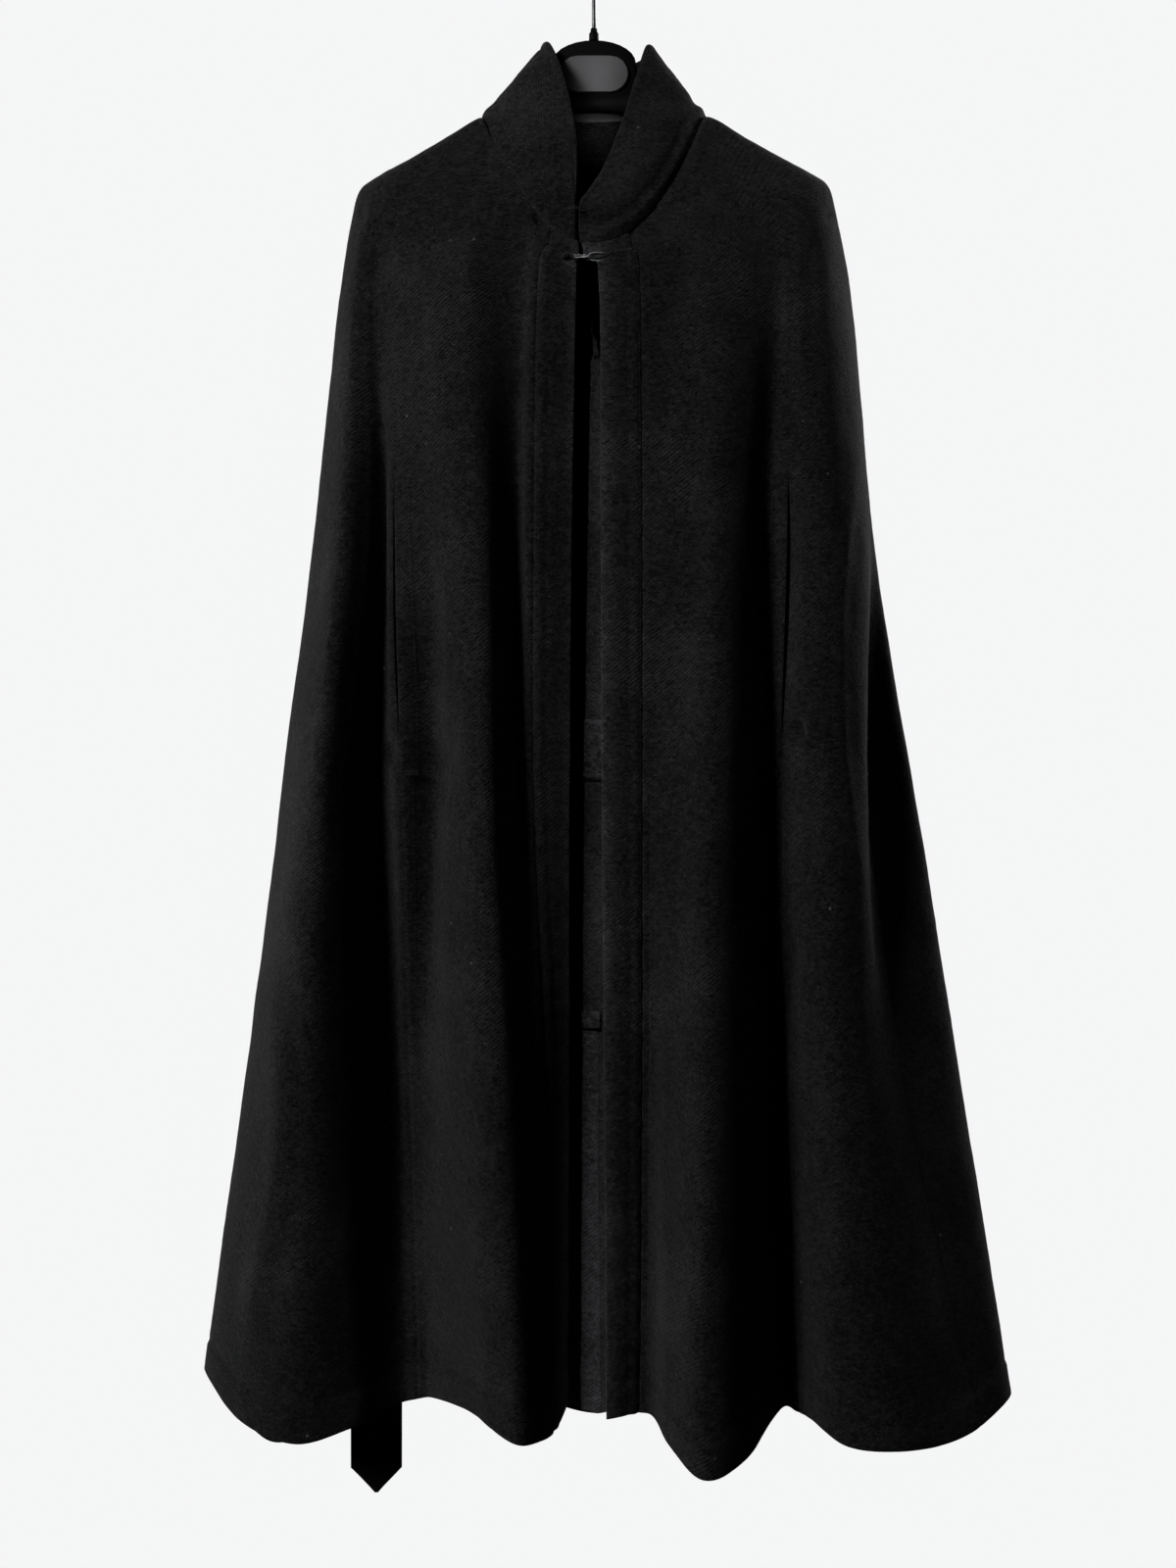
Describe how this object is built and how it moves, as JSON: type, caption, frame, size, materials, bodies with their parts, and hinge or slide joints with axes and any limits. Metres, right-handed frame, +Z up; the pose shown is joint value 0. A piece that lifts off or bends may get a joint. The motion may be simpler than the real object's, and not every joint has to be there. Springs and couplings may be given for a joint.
{
  "type": "wool cloak on hanger",
  "caption": "Long flared wool cloak with a funnel collar, arm slits, front bands and a hanging belt, on a shaped hanger with a wire hook.",
  "frame": {"origin": "underside of the hook's crown, where a rail carries the hanger", "axes": "+Z up, +X towards the wearer's left, -Y out of the cloak's front; right and left in names are the wearer's"},
  "size_m": [0.737, 0.228, 1.4309],
  "materials": {
    "wool": "black milled wool twill with a soft nap, dull",
    "label": "black woven satin, blank, slightly shiny",
    "hook_wire": "bright steel wire",
    "hanger_plastic": "black moulded plastic, satin",
    "plaque": "dark grey, blank, satin",
    "clasp_wire": "dark nickel wire"
  },
  "bodies": {
    "root": {"front_right": "wool", "front_left": "wool", "side_right": "wool", "side_left": "wool", "back_right": "wool", "back_left": "wool", "placket_right": "wool", "placket_left": "wool", "collar": "wool", "collar_facing": "wool", "arm_welt_right": "wool", "arm_welt_left": "wool", "waist_casing": "wool", "belt": "wool", "vent_underlap": "wool", "vent_bar": "wool", "hang_loop": "wool", "neck_label": "label", "hanger_hook": "hook_wire", "hanger_ferrule": "hanger_plastic", "hanger_body": "hanger_plastic", "hanger_plaque": "plaque", "hook_lower": "clasp_wire", "eye_lower": "clasp_wire", "hook_upper": "clasp_wire", "eye_upper": "clasp_wire"}
  },
  "joints": []
}
